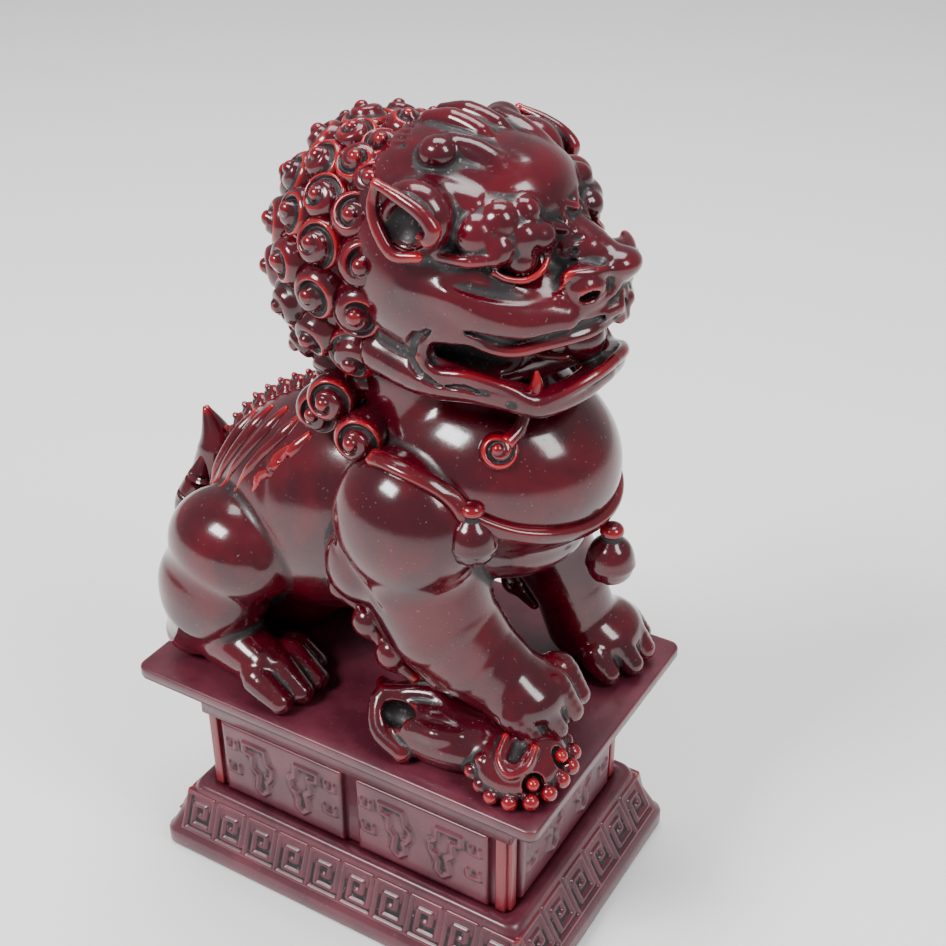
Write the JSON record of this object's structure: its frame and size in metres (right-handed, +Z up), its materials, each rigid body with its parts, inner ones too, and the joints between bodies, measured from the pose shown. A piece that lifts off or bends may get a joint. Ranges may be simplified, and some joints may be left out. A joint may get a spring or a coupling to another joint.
{
  "type": "guardian lion statue",
  "caption": "Seated guardian lion with curled mane and belled collar, one forepaw on an upturned cub, on a stepped rectangular plinth; decorative statuette.",
  "frame": {"origin": "middle of the felt pad's underside, under the centre of the plinth's rectangle", "axes": "+X out of the front, the way the lion faces; +Y to the lion's left; +Z up"},
  "size_m": [0.1127, 0.0684, 0.1809],
  "materials": {
    "lion_resin": "cinnabar-red cast resin, clear gloss, dark in the cracks",
    "hair_resin": "cinnabar-red cast resin, dark patina between the curls",
    "cub_resin": "cinnabar-red cast resin, clear gloss",
    "harness_resin": "cinnabar-red cast resin, clear gloss",
    "plinth_resin": "cinnabar-red cast resin, worn brighter along the edges",
    "felt": "thin adhesive felt"
  },
  "bodies": {
    "root": {"base_felt": "felt", "beard_scrolls": "hair_resin", "bell_front": "harness_resin", "bell_left": "harness_resin", "bell_right": "harness_resin", "brow_boss": "lion_resin", "brow_left": "lion_resin", "brow_right": "lion_resin", "chest": "lion_resin", "collar_strap": "harness_resin", "cub_body": "cub_resin", "cub_ears": "cub_resin", "cub_head": "cub_resin", "cub_leg": "cub_resin", "ear_left": "lion_resin", "ear_right": "lion_resin", "eye_left": "lion_resin", "eye_right": "lion_resin", "fangs": "lion_resin", "fore_paw_left": "lion_resin", "fore_paw_right": "lion_resin", "foreleg_left": "lion_resin", "foreleg_right": "lion_resin", "forelocks": "hair_resin", "fret_band": "plinth_resin", "haunch_left": "lion_resin", "haunch_right": "lion_resin", "hind_paw_left": "lion_resin", "hind_paw_right": "lion_resin", "leg_tuft_left": "hair_resin", "leg_tuft_right": "hair_resin", "lower_jaw": "lion_resin", "mane_cap": "hair_resin", "mane_curls_crown": "hair_resin", "mane_curls_nape": "hair_resin", "mane_curls_sides": "hair_resin", "muzzle": "lion_resin", "nose": "lion_resin", "panel_front": "plinth_resin", "panel_left_front": "plinth_resin", "panel_left_rear": "plinth_resin", "panel_rear": "plinth_resin", "panel_right_front": "plinth_resin", "panel_right_rear": "plinth_resin", "plinth_foot": "plinth_resin", "plinth_slab": "plinth_resin", "plinth_waist": "plinth_resin", "rump": "lion_resin", "shoulder_left": "lion_resin", "shoulder_right": "lion_resin", "skull": "lion_resin", "spine_ridge": "hair_resin", "tail_plume": "hair_resin", "tongue": "lion_resin", "torso": "lion_resin"}
  },
  "joints": []
}
